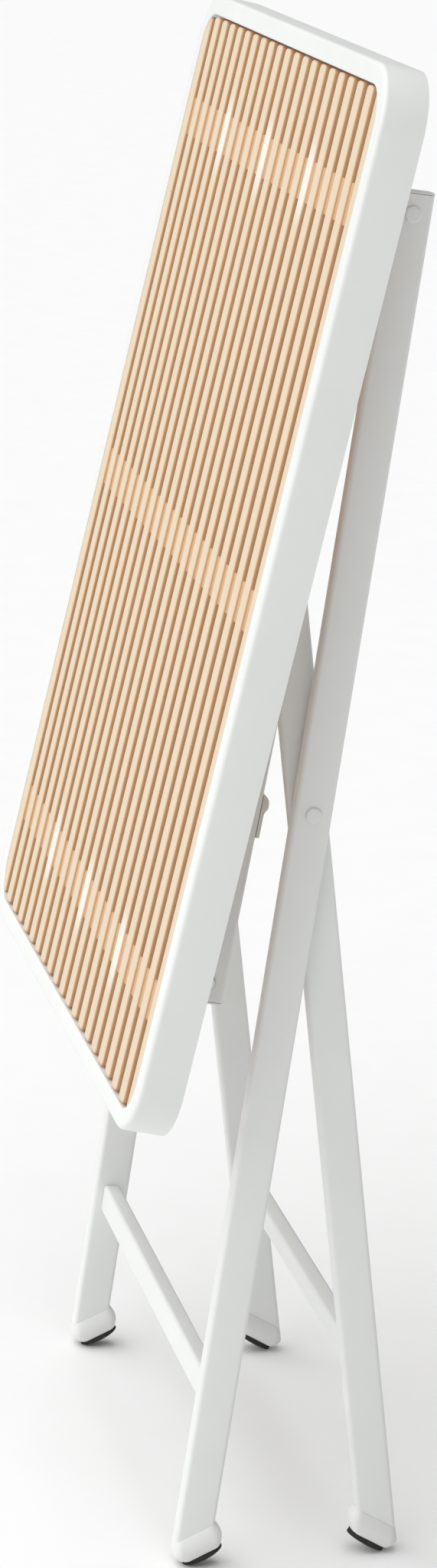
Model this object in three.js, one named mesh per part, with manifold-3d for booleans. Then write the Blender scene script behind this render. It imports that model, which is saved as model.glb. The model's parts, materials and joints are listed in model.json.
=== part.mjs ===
// Folding tray table: a slatted top in a white rim, on two crossed leg frames of flat tube.
// Millimetres, +Z up, +Y along the pivot axes, standing nearly folded on its four feet.
// Each leg frame and the top turn about pins that run along Y. The knee links tie the upper
// ends of the inner frame to the underside of the top.
import * as THREE from 'three';
import { mergeVertices } from 'three/addons/utils/BufferGeometryUtils.js';
import Module from 'manifold-3d';

// ---- driving dimensions -------------------------------------------------------------------
// table top
const TOP_LENGTH = 676;
const TOP_WIDTH = 512;
const TOP_CORNER_RADIUS = 38;
const RIM_HEIGHT = 28;
const RIM_FACE = 12.5;
const RIM_WALL = 1.2;
const RIM_EDGE_BEVEL = 1;
// slatted panel
const SLAT_COUNT = 21;
const SLAT_WIDTH = 14;
const SLAT_DEPTH = 12;
const SLAT_RECESS = 1;
const SLAT_END_GAP = 2.3;
const SLAT_SIDE_GAP = 0.6;
const SLAT_EDGE_BEVEL = 0.8;
const SLAT_WALL = 2.2;
const RIB_WIDTH = 26;
const RIB_RECESS = 1.6;
const HOLLOW_END = 12;
// flat tube of the legs and links
const TUBE_WIDTH = 25;
const TUBE_THICKNESS = 12;
const TUBE_WALL = 1.5;
const TUBE_CORNER = 3;
// leg frames
const FRAME_WIDTH = 378;
const LAYER_GAP = 1.6;
const UPPER_LEG = 380;
const KNEE_ARM = 133;
const OUTER_CROSSBAR_DROP = 398;
const INNER_CROSSBAR_DROP = 384;
const CROSSBAR_HEIGHT = 20;
const CROSSBAR_DEPTH = 12;
// hinges of the top
const HINGE_SPAN = 505;
const HINGE_DROP = 24.5;
const BRACKET_PLATE = 3;
const BRACKET_WIDTH = 22;
const BRACKET_FOOT = 24;
const CROSS_TUBE_WIDTH = 20;
const CROSS_TUBE_HEIGHT = 12;
const CROSS_TUBE_CORNER = 2;
// pins
const PIN_RADIUS = 3;
const HEAD_RADIUS = 5.2;
const HEAD_HEIGHT = 1.8;
const WASHER_RADIUS = 8;
const WASHER_THICKNESS = 1;
const SCREW_RADIUS = 2;
const SCREW_HEAD_RADIUS = 4;
const SCREW_HEAD_HEIGHT = 2.4;
const SCREW_GRIP = 6;
const SCREWS_PER_TUBE = 3;
const SCREW_PITCH_SLATS = 5;
// feet
const OUTER_LEG_DROP = 508;
const INNER_LEG_DROP = 513.5;
const OUTER_SOLE_ANGLE = THREE.MathUtils.degToRad(32);
const INNER_SOLE_ANGLE = THREE.MathUtils.degToRad(38);
const SHOE_LIP = 1.5;
const SHOE_BULGE = 1.7;
const SHOE_HEIGHT = 18.5;
const SHOE_FLOOR = 10;
const PAD_LENGTH = 28.5;
const PAD_WIDTH = 19;
const PAD_THICKNESS = 3.6;
const PAD_OFFSET = 8.5;
// end plugs
const END_REACH = 12.5;
const PLUG_FLANGE = 1.2;
const PLUG_DEPTH = 8;
// folding catch
const CATCH_FROM_HINGE = 112;
const CATCH_LENGTH = 28;
const CATCH_WIDTH = 8;
const CATCH_STRIP = 2.4;
const CATCH_NOSE = 5;
const CATCH_NOSE_LENGTH = 11;
// clearances
const FIT = 0.3;
const PIN_CLEARANCE = 0.3;
// facets of round pins and holes, and steps in each corner of the top
const ROUND_SEGMENTS = 14;
const ROUND_STEPS = ROUND_SEGMENTS / 2;
const CORNER_STEPS = 5;
// pose: angles of the inner frame and of the top, measured from the outer legs
const SPREAD = THREE.MathUtils.degToRad(-14.7);
const TOP_TILT = THREE.MathUtils.degToRad(4.95);

// ---- worked out from the driving dimensions -----------------------------------------------
const SIDES = [
  { name: 'right', sign: -1 },
  { name: 'left', sign: 1 },
];
const LAYER_STEP = TUBE_THICKNESS + LAYER_GAP;
const OUTER_LEG_Y = FRAME_WIDTH / 2 - TUBE_THICKNESS / 2;
const INNER_LEG_Y = OUTER_LEG_Y - LAYER_STEP;
const LINK_Y = INNER_LEG_Y - LAYER_STEP;
const TOP_PLATE_Y = OUTER_LEG_Y - TUBE_THICKNESS / 2 - LAYER_GAP - BRACKET_PLATE / 2;
const LINK_PLATE_Y = LINK_Y - TUBE_THICKNESS / 2 - LAYER_GAP - BRACKET_PLATE / 2;
const OPENING_LENGTH = TOP_LENGTH - 2 * RIM_FACE;
const OPENING_WIDTH = TOP_WIDTH - 2 * RIM_FACE;
const OPENING_RADIUS = Math.max(TOP_CORNER_RADIUS - RIM_FACE, 4);
const SLAT_PITCH = (OPENING_WIDTH - 2 * SLAT_SIDE_GAP - SLAT_WIDTH) / (SLAT_COUNT - 1);
const SLAT_TOP = -RIM_HEIGHT + SLAT_RECESS;
const SLAT_BOTTOM = SLAT_TOP + SLAT_DEPTH;
const CROSS_TUBE_TOP = SLAT_BOTTOM + FIT;
const CROSS_TUBE_BOTTOM = CROSS_TUBE_TOP + CROSS_TUBE_HEIGHT;
const HINGE_HALF = HINGE_SPAN / 2;

const onAxis = (length, angle) => new THREE.Vector2(length * Math.sin(angle), length * Math.cos(angle));

// The link closes the loop between the lower hinge of the top and the knee of the inner frame.
const lowerHinge = onAxis(UPPER_LEG, 0).sub(onAxis(HINGE_SPAN, TOP_TILT));
const kneeAtRest = onAxis(KNEE_ARM, SPREAD);
const linkAtRest = kneeAtRest.clone().sub(lowerHinge);
const LINK_LENGTH = linkAtRest.length();
const LINK_TILT = Math.atan2(linkAtRest.x, linkAtRest.y);

// ---- making solids ------------------------------------------------------------------------
const wasm = await Module();
wasm.setup();

function toSolid(geometry) {
  const bare = geometry.index ? geometry.toNonIndexed() : geometry.clone();
  bare.deleteAttribute('normal');
  bare.deleteAttribute('uv');
  const merged = mergeVertices(bare, 1e-4);
  return new wasm.Manifold(new wasm.Mesh({
    numProp: 3,
    vertProperties: new Float32Array(merged.attributes.position.array),
    triVerts: new Uint32Array(merged.index.array),
  }));
}

function toGeometry(solid) {
  const mesh = solid.getMesh();
  const geometry = new THREE.BufferGeometry();
  geometry.setAttribute('position', new THREE.BufferAttribute(mesh.vertProperties, 3));
  geometry.setIndex(new THREE.BufferAttribute(mesh.triVerts, 1));
  geometry.computeVertexNormals();
  return geometry;
}

const cut = (body, tools) => tools
  .reduce((solid, tool) => solid.subtract(toSolid(tool)), toSolid(body));
const join = ([first, ...rest]) => rest
  .reduce((solid, piece) => solid.add(toSolid(piece)), toSolid(first));

function roundedRectangle(width, height, radius) {
  const right = width / 2;
  const top = height / 2;
  const shape = new THREE.Shape();
  shape.moveTo(right, -top + radius);
  shape.absarc(right - radius, top - radius, radius, 0, Math.PI / 2);
  shape.absarc(-right + radius, top - radius, radius, Math.PI / 2, Math.PI);
  shape.absarc(-right + radius, -top + radius, radius, Math.PI, 1.5 * Math.PI);
  shape.absarc(right - radius, -top + radius, radius, 1.5 * Math.PI, 2 * Math.PI);
  return shape;
}

function extrude(shape, depth, curveSegments = 2, bevel = 0) {
  const settings = { depth, curveSegments, bevelEnabled: false };
  if (bevel > 0) {
    settings.depth = depth - 2 * bevel;
    settings.bevelEnabled = true;
    settings.bevelThickness = bevel;
    settings.bevelSize = bevel;
    settings.bevelOffset = -bevel;
    settings.bevelSegments = 1;
  }
  const geometry = new THREE.ExtrudeGeometry(shape, settings);
  return bevel > 0 ? geometry.translate(0, 0, bevel) : geometry;
}

// A flat tube along Z from one height to another, open at both ends.
function flatTube(width, thickness, corner, bottom, top) {
  const section = roundedRectangle(width, thickness, corner);
  const hollow = roundedRectangle(width - 2 * TUBE_WALL, thickness - 2 * TUBE_WALL, corner - TUBE_WALL);
  section.holes.push(hollow);
  return extrude(section, top - bottom).translate(0, 0, bottom);
}

function cylinderAlongY(radius, length, z) {
  return new THREE.CylinderGeometry(radius, radius, length, ROUND_SEGMENTS).translate(0, 0, z);
}

// Turns a plan drawn in (Y, Z) and extruded upward so that it is extruded along +X from a start.
function layOnTop(geometry, start) {
  const basis = new THREE.Matrix4().makeBasis(
    new THREE.Vector3(0, 1, 0),
    new THREE.Vector3(0, 0, 1),
    new THREE.Vector3(1, 0, 0),
  );
  return geometry.applyMatrix4(basis).translate(start, 0, 0);
}

// Turns an outline drawn in (X, Z) so that its thickness lies along Y, centred on Y = 0.
function standOnSide(geometry, thickness) {
  return geometry.rotateX(Math.PI / 2).translate(0, thickness / 2, 0);
}

// ---- finishes -----------------------------------------------------------------------------
const finish = (color, roughness, metalness) => (
  new THREE.MeshStandardMaterial({ color, roughness, metalness })
);
const whitePaint = () => finish('#e9eaea', 0.45, 0.1);
const slatPlastic = () => finish('#e6cfb2', 0.6, 0);
const whitePlastic = () => finish('#e4e5e3', 0.5, 0);
const blackRubber = () => finish('#2b2b2a', 0.85, 0);
const zincSteel = () => finish('#c9cbcc', 0.35, 0.9);
const greyNylon = () => finish('#b9bbba', 0.55, 0);

function place(group, name, solidOrGeometry, material, y = 0) {
  const geometry = solidOrGeometry.isBufferGeometry ? solidOrGeometry : toGeometry(solidOrGeometry);
  const mesh = new THREE.Mesh(geometry, material);
  mesh.name = name;
  mesh.position.y = y;
  group.add(mesh);
  return mesh;
}

// ---- table top ----------------------------------------------------------------------------
// The rim is a channel, open towards the panel, with a rounded outer edge on its upper face.
function rim() {
  const outline = roundedRectangle(TOP_WIDTH, TOP_LENGTH, TOP_CORNER_RADIUS);
  const body = extrude(outline, RIM_HEIGHT, CORNER_STEPS, RIM_EDGE_BEVEL);
  const openingShape = roundedRectangle(OPENING_WIDTH, OPENING_LENGTH, OPENING_RADIUS);
  const opening = extrude(openingShape, RIM_HEIGHT + 2, CORNER_STEPS);
  const channelRadius = Math.max(TOP_CORNER_RADIUS - RIM_WALL, 4);
  const channelShape = roundedRectangle(TOP_WIDTH - 2 * RIM_WALL, TOP_LENGTH - 2 * RIM_WALL, channelRadius);
  const channel = extrude(channelShape, RIM_HEIGHT - 2 * RIM_WALL, CORNER_STEPS);
  layOnTop(body, -RIM_HEIGHT);
  layOnTop(opening, -RIM_HEIGHT - 1);
  layOnTop(channel, -RIM_HEIGHT + RIM_WALL);
  return cut(body, [opening, channel]);
}

// Slats and ribs are one moulding: the slats run along the top, hollow from below, and the ribs
// cross through them.
function slatPanel() {
  const length = OPENING_LENGTH - 2 * SLAT_END_GAP;
  const width = OPENING_WIDTH - 2 * SLAT_SIDE_GAP;
  const first = -width / 2 + SLAT_WIDTH / 2;
  const pieces = [];
  for (let index = 0; index < SLAT_COUNT; index += 1) {
    const slat = extrude(roundedRectangle(SLAT_WIDTH, length, 3), SLAT_DEPTH, 1, SLAT_EDGE_BEVEL);
    pieces.push(layOnTop(slat, SLAT_TOP).translate(0, first + index * SLAT_PITCH, 0));
  }
  const hollows = pieces.map((_, index) => {
    const hollow = new THREE.BoxGeometry(SLAT_DEPTH, SLAT_WIDTH - 2 * SLAT_WALL, length - 2 * HOLLOW_END);
    return hollow.translate(SLAT_TOP + SLAT_WALL + SLAT_DEPTH / 2, first + index * SLAT_PITCH, 0);
  });
  const slats = hollows.reduce((solid, hollow) => solid.subtract(toSolid(hollow)), join(pieces));
  const ribs = [-HINGE_HALF, 0, HINGE_HALF].map((height) => {
    const depth = SLAT_DEPTH - RIB_RECESS - SLAT_EDGE_BEVEL;
    const rib = new THREE.BoxGeometry(depth, width - SLAT_WIDTH, RIB_WIDTH);
    return rib.translate(SLAT_TOP + RIB_RECESS + depth / 2, 0, height);
  });
  const outline = roundedRectangle(width, length, Math.max(OPENING_RADIUS - SLAT_END_GAP, 3));
  const boundary = layOnTop(extrude(outline, SLAT_DEPTH + 2, CORNER_STEPS), SLAT_TOP - 1);
  return slats.add(join(ribs)).intersect(toSolid(boundary));
}

const screwPositions = () => {
  const middle = (SCREWS_PER_TUBE - 1) / 2;
  const pitch = SCREW_PITCH_SLATS * SLAT_PITCH;
  return Array.from({ length: SCREWS_PER_TUBE }, (_, index) => (index - middle) * pitch);
};

// A round cutter along X, for the holes that the panel screws pass through.
function screwCutter(length, x, y, z) {
  const radius = SCREW_RADIUS + PIN_CLEARANCE;
  return new THREE.CylinderGeometry(radius, radius, length, ROUND_SEGMENTS)
    .rotateZ(Math.PI / 2).translate(x, y, z);
}

// A steel tube under each end rib carries the hinge brackets and the screws of the panel.
function crossTube() {
  const length = TOP_WIDTH - 2 * RIM_WALL - 2 * FIT;
  const tube = flatTube(CROSS_TUBE_WIDTH, CROSS_TUBE_HEIGHT, CROSS_TUBE_CORNER, -length / 2, length / 2);
  // the tube's length turns from Z to Y, its height from Y to X
  const basis = new THREE.Matrix4().makeBasis(
    new THREE.Vector3(0, 0, 1),
    new THREE.Vector3(1, 0, 0),
    new THREE.Vector3(0, 1, 0),
  );
  const depth = CROSS_TUBE_TOP + CROSS_TUBE_HEIGHT / 2;
  tube.applyMatrix4(basis).translate(depth, 0, 0);
  return cut(tube, screwPositions().map((y) => screwCutter(2 * CROSS_TUBE_HEIGHT, depth, y, 0)));
}

// The bores in the panel that the screws go up into.
function panelWithBores() {
  const bores = [-HINGE_HALF, HINGE_HALF].flatMap((height) => screwPositions()
    .map((y) => screwCutter(2 * (SCREW_GRIP + 1), SLAT_BOTTOM, y, height)));
  return bores.reduce((solid, bore) => solid.subtract(toSolid(bore)), slatPanel());
}

// Pan head below the cross tube, shank up through it into the panel.
function panelScrew() {
  const tip = SLAT_BOTTOM - SCREW_GRIP;
  const seat = CROSS_TUBE_BOTTOM + FIT;
  const end = seat + SCREW_HEAD_HEIGHT;
  const profile = [
    [0, tip], [SCREW_RADIUS * 0.4, tip], [SCREW_RADIUS, tip + 2], [SCREW_RADIUS, seat],
    [SCREW_HEAD_RADIUS, seat], [SCREW_HEAD_RADIUS, end - 1], [SCREW_HEAD_RADIUS - 1, end], [0, end],
  ].map(([radius, x]) => new THREE.Vector2(radius, x));
  return new THREE.LatheGeometry(profile, ROUND_SEGMENTS).rotateZ(-Math.PI / 2);
}

// A plate that hangs below the cross tube on a folded foot, drilled for a hinge pin.
function hingeBracket(footSign) {
  const radius = BRACKET_WIDTH / 2;
  const foot = CROSS_TUBE_BOTTOM + FIT;
  const outline = new THREE.Shape();
  outline.moveTo(foot, -radius);
  outline.lineTo(HINGE_DROP, -radius);
  outline.absarc(HINGE_DROP, 0, radius, -Math.PI / 2, Math.PI / 2);
  outline.lineTo(foot, radius);
  const hole = new THREE.Path();
  hole.absarc(HINGE_DROP, 0, PIN_RADIUS + PIN_CLEARANCE, 0, 2 * Math.PI);
  outline.holes.push(hole);
  const plate = standOnSide(extrude(outline, BRACKET_PLATE, ROUND_STEPS), BRACKET_PLATE);
  const base = new THREE.BoxGeometry(BRACKET_PLATE, BRACKET_FOOT, BRACKET_WIDTH);
  const shift = footSign * (BRACKET_FOOT - BRACKET_PLATE) / 2;
  base.translate(foot + BRACKET_PLATE / 2, shift, 0);
  return join([plate, base]);
}

// ---- pins and washers ---------------------------------------------------------------------
// A domed head that stands on the face at a given Y and bulges away from it.
const headProfile = (seat, direction) => {
  const rise = direction * HEAD_HEIGHT;
  return [[HEAD_RADIUS, seat], [HEAD_RADIUS, seat + 0.35 * rise], [HEAD_RADIUS * 0.8, seat + 0.75 * rise],
    [HEAD_RADIUS * 0.45, seat + 0.95 * rise], [0, seat + rise]];
};

// A rivet through everything between two faces, its outer head towards the outside of the table.
function rivet(innerFace, outerFace, sign) {
  const low = headProfile(innerFace - FIT, -1).reverse();
  const high = headProfile(outerFace + FIT, 1);
  const shank = [[PIN_RADIUS, innerFace - FIT], [PIN_RADIUS, outerFace + FIT]];
  const profile = [...low, ...shank, ...high].map(([radius, y]) => new THREE.Vector2(radius, y));
  const geometry = new THREE.LatheGeometry(profile, ROUND_SEGMENTS);
  return sign < 0 ? geometry.rotateX(Math.PI) : geometry;
}

// One head only, on a short shank that stays inside its own tube.
function rivetHead(face, direction, sign) {
  const seat = face + direction * FIT;
  const inside = face - direction * (TUBE_THICKNESS / 2);
  const cap = headProfile(seat, direction);
  const profile = [[0, inside], [PIN_RADIUS, inside], [PIN_RADIUS, seat], ...cap];
  const ordered = direction > 0 ? profile : profile.reverse();
  const points = ordered.map(([radius, y]) => new THREE.Vector2(radius, y));
  const geometry = new THREE.LatheGeometry(points, ROUND_SEGMENTS);
  return sign < 0 ? geometry.rotateX(Math.PI) : geometry;
}

function washer() {
  const shape = new THREE.Shape();
  shape.absarc(0, 0, WASHER_RADIUS, 0, 2 * Math.PI);
  const hole = new THREE.Path();
  hole.absarc(0, 0, PIN_RADIUS + PIN_CLEARANCE, 0, 2 * Math.PI);
  shape.holes.push(hole);
  return standOnSide(extrude(shape, WASHER_THICKNESS, ROUND_STEPS), WASHER_THICKNESS);
}

// ---- tubes of the frames ------------------------------------------------------------------
const pinHole = (z) => cylinderAlongY(PIN_RADIUS + PIN_CLEARANCE, 3 * TUBE_THICKNESS, z);

// A leg tube from its foot, cut parallel to its sole, up to its square end.
function legTube(foot, top, holes) {
  const tube = flatTube(TUBE_WIDTH, TUBE_THICKNESS, TUBE_CORNER, -foot.drop - TUBE_WIDTH, top);
  return cut(tube, [...holes, belowPlane(foot, SHOE_FLOOR)]);
}

// A hole in one wall only, for the head that closes the open end of a knee.
function kneeHole(z, direction) {
  return cylinderAlongY(PIN_RADIUS + PIN_CLEARANCE, TUBE_THICKNESS, z)
    .translate(0, direction * TUBE_THICKNESS / 2, 0);
}

function crossbar(span) {
  const length = span - 2 * FIT;
  const section = roundedRectangle(CROSSBAR_DEPTH, CROSSBAR_HEIGHT, CROSS_TUBE_CORNER);
  const hollow = roundedRectangle(
    CROSSBAR_DEPTH - 2 * TUBE_WALL,
    CROSSBAR_HEIGHT - 2 * TUBE_WALL,
    CROSS_TUBE_CORNER - TUBE_WALL,
  );
  section.holes.push(hollow);
  return standOnSide(extrude(section, length), length);
}

// A plug in the mouth of a tube, its flange on the end. It points up; turned over it points down.
function endPlug() {
  const inner = 2 * TUBE_WALL + 2 * FIT;
  const flange = extrude(roundedRectangle(TUBE_WIDTH, TUBE_THICKNESS, TUBE_CORNER), PLUG_FLANGE);
  const bodyShape = roundedRectangle(TUBE_WIDTH - inner, TUBE_THICKNESS - inner, TUBE_CORNER - TUBE_WALL);
  const body = extrude(bodyShape, PLUG_DEPTH + FIT).translate(0, 0, -PLUG_DEPTH);
  return join([body, flange.translate(0, 0, FIT)]);
}

// ---- feet ---------------------------------------------------------------------------------
// A leg stands on a sole that is turned from square to the leg. `foot` holds that angle, the side
// (+1 or -1 along X) that the sole is moved towards, and how far below the pivot its middle lies.
const OUTER_FOOT = { slope: OUTER_SOLE_ANGLE, inward: 1, drop: OUTER_LEG_DROP };
const INNER_FOOT = { slope: INNER_SOLE_ANGLE, inward: -1, drop: INNER_LEG_DROP };

// A point given along the sole and above it, in the leg's X and Z.
function footPoint(foot, alongSole, aboveSole) {
  const along = new THREE.Vector2(foot.inward * Math.cos(foot.slope), Math.sin(foot.slope));
  const up = new THREE.Vector2(-foot.inward * Math.sin(foot.slope), Math.cos(foot.slope));
  return new THREE.Vector2(foot.inward * PAD_OFFSET, -foot.drop)
    .addScaledVector(along, alongSole).addScaledVector(up, aboveSole);
}

// Moves a solid drawn standing on Z = 0, its length along X, to the foot.
function standOnSole(geometry, foot) {
  const centre = footPoint(foot, 0, 0);
  const mirrored = foot.inward < 0 ? geometry.rotateZ(Math.PI) : geometry;
  return mirrored.rotateY(-foot.inward * foot.slope).translate(centre.x, 0, centre.y);
}

// Everything below a plane parallel to the sole, `height` above its underside.
function belowPlane(foot, height) {
  const size = 4 * TUBE_WIDTH;
  const below = new THREE.BoxGeometry(2 * size, size, size).translate(0, 0, height - size / 2);
  return standOnSole(below, foot);
}

// A closed skin through rings, each { height, centre, length, width, squareness }.
function skinRings(rings) {
  const last = rings.length - 1;
  const profile = [
    new THREE.Vector2(0, rings[0].height),
    ...rings.map((ring) => new THREE.Vector2(1, ring.height)),
    new THREE.Vector2(0, rings[last].height),
  ];
  const geometry = new THREE.LatheGeometry(profile, 28).rotateX(Math.PI / 2);
  const position = geometry.attributes.position;
  for (let index = 0; index < position.count; index += 1) {
    const row = index % profile.length;
    const ring = rings[Math.min(Math.max(row - 1, 0), last)];
    const x = position.getX(index);
    const y = position.getY(index);
    const power = ring.squareness;
    const reach = (Math.abs(x) ** power + Math.abs(y) ** power) ** (1 / power) || 1;
    const radius = Math.hypot(x, y);
    position.setXYZ(
      index,
      ring.centre + ring.length / 2 * x * radius / reach,
      ring.width / 2 * y * radius / reach,
      ring.height,
    );
  }
  return geometry;
}

// The lower end of a leg is cut parallel to the sole and stands in a socket in the shoe, which
// swells from the tube's section to an oval as long and as wide as the sole.
function shoe(foot) {
  const tubeCentre = (height) => height * Math.tan(foot.slope) - PAD_OFFSET / Math.cos(foot.slope);
  const seamLength = TUBE_WIDTH / Math.cos(foot.slope) + 2 * SHOE_LIP;
  const seamWidth = TUBE_THICKNESS + 2 * SHOE_LIP;
  const base = PAD_THICKNESS + FIT;
  const seamCentre = tubeCentre(SHOE_HEIGHT);
  const middleHeight = (base + SHOE_HEIGHT) / 2;
  const rings = [
    { height: base, centre: 0, length: PAD_LENGTH + 1, width: PAD_WIDTH, squareness: 2.2 },
    { height: base + 2, centre: seamCentre * 0.3, length: PAD_LENGTH + 2 * SHOE_BULGE + 2,
      width: PAD_WIDTH + SHOE_BULGE, squareness: 2.4 },
    { height: middleHeight, centre: seamCentre * 0.55, length: seamLength + 3 * SHOE_BULGE,
      width: PAD_WIDTH + 2 * SHOE_BULGE, squareness: 2.6 },
    { height: SHOE_HEIGHT - 3, centre: seamCentre * 0.85, length: seamLength + 2.2 * SHOE_BULGE,
      width: seamWidth + 2.4 * SHOE_BULGE, squareness: 3 },
    { height: SHOE_HEIGHT, centre: seamCentre, length: seamLength, width: seamWidth, squareness: 4.5 },
  ];
  const section = roundedRectangle(TUBE_WIDTH + 2 * FIT, TUBE_THICKNESS + 2 * FIT, TUBE_CORNER);
  const bore = extrude(section, 4 * TUBE_WIDTH).translate(0, 0, -foot.drop - 2 * TUBE_WIDTH);
  const socket = cut(bore, [belowPlane(foot, SHOE_FLOOR - FIT)]);
  return toSolid(standOnSole(skinRings(rings), foot)).subtract(socket);
}

function pad(foot) {
  const oval = new THREE.CylinderGeometry(PAD_LENGTH / 2, PAD_LENGTH / 2, PAD_THICKNESS, 28);
  oval.rotateX(Math.PI / 2).scale(1, PAD_WIDTH / PAD_LENGTH, 1).translate(0, 0, PAD_THICKNESS / 2);
  return standOnSole(oval, foot);
}

// ---- folding catch ------------------------------------------------------------------------
// A nylon strip clipped along the back edge of a link, with a nose that the leg pivot snaps past.
function foldingCatch() {
  const back = TUBE_WIDTH / 2 + FIT;
  const half = CATCH_LENGTH / 2;
  const strip = back + CATCH_STRIP;
  const nose = back + CATCH_NOSE;
  const foot = half - CATCH_NOSE_LENGTH;
  const outline = new THREE.Shape();
  outline.moveTo(back, -half);
  outline.lineTo(strip, -half);
  outline.lineTo(strip, foot - 2);
  outline.bezierCurveTo(strip, foot + 1, nose, foot + 1, nose, foot + 4);
  outline.bezierCurveTo(nose, half - 2, strip, half, back, half);
  return standOnSide(extrude(outline, CATCH_WIDTH, 4), CATCH_WIDTH);
}

// ---- assembly -----------------------------------------------------------------------------
const table = new THREE.Group();
const outerFrame = new THREE.Group();
const innerFrame = new THREE.Group();
const topHinge = new THREE.Group();
const tableTop = new THREE.Group();
const kneeLinks = new THREE.Group();

innerFrame.rotation.y = SPREAD;
topHinge.position.z = UPPER_LEG;
topHinge.rotation.y = TOP_TILT;
tableTop.position.set(-HINGE_DROP, 0, -HINGE_HALF);
kneeLinks.position.set(HINGE_DROP, 0, -HINGE_HALF);
kneeLinks.rotation.y = LINK_TILT - TOP_TILT;
table.add(outerFrame);
outerFrame.add(innerFrame, topHinge);
topHinge.add(tableTop);
tableTop.add(kneeLinks);

place(tableTop, 'top_rim', rim(), whitePaint());
place(tableTop, 'slat_panel', panelWithBores(), slatPlastic());
for (const [end, height] of [['upper', HINGE_HALF], ['lower', -HINGE_HALF]]) {
  place(tableTop, `cross_tube_${end}`, crossTube(), whitePaint()).position.z = height;
  screwPositions().forEach((y, index) => {
    place(tableTop, `panel_screw_${end}_${index + 1}`, panelScrew(), zincSteel(), y).position.z = height;
  });
}

for (const { name, sign } of SIDES) {
  const outerFace = OUTER_LEG_Y + TUBE_THICKNESS / 2;
  const footOf = (frame, part, foot, y) => {
    place(frame, `${part}_shoe_${name}`, shoe(foot), whitePlastic(), sign * y);
    place(frame, `${part}_foot_pad_${name}`, pad(foot), blackRubber(), sign * y);
  };
  const capOf = (frame, part, y, height, turned = 0) => {
    const plug = place(frame, `${part}_${name}`, endPlug(), whitePlastic(), sign * y);
    plug.position.z = height;
    plug.rotation.x = turned;
  };

  // outer frame, with the pins that it carries
  const outerTop = UPPER_LEG + END_REACH;
  const outerTube = legTube(OUTER_FOOT, outerTop, [pinHole(0), pinHole(UPPER_LEG)]);
  place(outerFrame, `outer_leg_${name}`, outerTube, whitePaint(), sign * OUTER_LEG_Y);
  capOf(outerFrame, 'outer_leg_cap', OUTER_LEG_Y, outerTop);
  footOf(outerFrame, 'outer', OUTER_FOOT, OUTER_LEG_Y);
  const pivotRivet = rivet(INNER_LEG_Y - TUBE_THICKNESS / 2, outerFace, sign);
  place(outerFrame, `leg_pivot_rivet_${name}`, pivotRivet, whitePaint());
  const washerY = sign * (OUTER_LEG_Y - LAYER_STEP / 2);
  place(outerFrame, `leg_pivot_washer_${name}`, washer(), greyNylon(), washerY);
  const hingeRivet = rivet(TOP_PLATE_Y - BRACKET_PLATE / 2, outerFace, sign);
  place(outerFrame, `top_hinge_rivet_${name}`, hingeRivet, whitePaint()).position.z = UPPER_LEG;
  place(outerFrame, `top_hinge_washer_${name}`, washer(), greyNylon(), washerY)
    .position.z = UPPER_LEG;

  // inner frame
  const innerTop = KNEE_ARM + END_REACH;
  const innerTube = legTube(INNER_FOOT, innerTop, [pinHole(0), kneeHole(KNEE_ARM, sign)]);
  place(innerFrame, `inner_leg_${name}`, innerTube, whitePaint(), sign * INNER_LEG_Y);
  capOf(innerFrame, 'inner_leg_cap', INNER_LEG_Y, innerTop);
  footOf(innerFrame, 'inner', INNER_FOOT, INNER_LEG_Y);
  const kneeOuter = rivetHead(INNER_LEG_Y + TUBE_THICKNESS / 2, 1, sign);
  place(innerFrame, `knee_rivet_outer_${name}`, kneeOuter, zincSteel()).position.z = KNEE_ARM;
  const kneeWasher = place(innerFrame, `knee_washer_${name}`, washer(), greyNylon());
  kneeWasher.position.set(0, sign * (INNER_LEG_Y - LAYER_STEP / 2), KNEE_ARM);

  // hinge brackets under the top
  const upperBracket = place(tableTop, `upper_hinge_bracket_${name}`, hingeBracket(-sign), whitePaint());
  upperBracket.position.set(0, sign * TOP_PLATE_Y, HINGE_HALF);
  const lowerBracket = place(tableTop, `lower_hinge_bracket_${name}`, hingeBracket(-sign), whitePaint());
  lowerBracket.position.set(0, sign * LINK_PLATE_Y, -HINGE_HALF);
  const linkRivet = rivet(LINK_PLATE_Y - BRACKET_PLATE / 2, LINK_Y + TUBE_THICKNESS / 2, sign);
  place(tableTop, `link_hinge_rivet_${name}`, linkRivet, zincSteel())
    .position.set(HINGE_DROP, 0, -HINGE_HALF);
  const linkWasher = place(tableTop, `link_hinge_washer_${name}`, washer(), greyNylon());
  linkWasher.position.set(HINGE_DROP, sign * (LINK_Y - LAYER_STEP / 2), -HINGE_HALF);

  // knee link
  const linkTube = cut(flatTube(TUBE_WIDTH, TUBE_THICKNESS, TUBE_CORNER, -END_REACH, LINK_LENGTH + END_REACH),
    [pinHole(0), kneeHole(LINK_LENGTH, -sign)]);
  place(kneeLinks, `knee_link_${name}`, linkTube, whitePaint(), sign * LINK_Y);
  capOf(kneeLinks, 'link_upper_cap', LINK_Y, LINK_LENGTH + END_REACH);
  capOf(kneeLinks, 'link_lower_cap', LINK_Y, -END_REACH, Math.PI);
  const kneeInner = rivetHead(LINK_Y - TUBE_THICKNESS / 2, -1, sign);
  place(kneeLinks, `knee_rivet_inner_${name}`, kneeInner, zincSteel()).position.z = LINK_LENGTH;
  place(kneeLinks, `folding_catch_${name}`, foldingCatch(), greyNylon(), sign * LINK_Y)
    .position.z = CATCH_FROM_HINGE;
}

const outerSpan = 2 * OUTER_LEG_Y - TUBE_THICKNESS;
const innerSpan = 2 * INNER_LEG_Y - TUBE_THICKNESS;
place(outerFrame, 'outer_crossbar', crossbar(outerSpan), whitePaint()).position.z = -OUTER_CROSSBAR_DROP;
place(innerFrame, 'inner_crossbar', crossbar(innerSpan), whitePaint()).position.z = -INNER_CROSSBAR_DROP;

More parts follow.
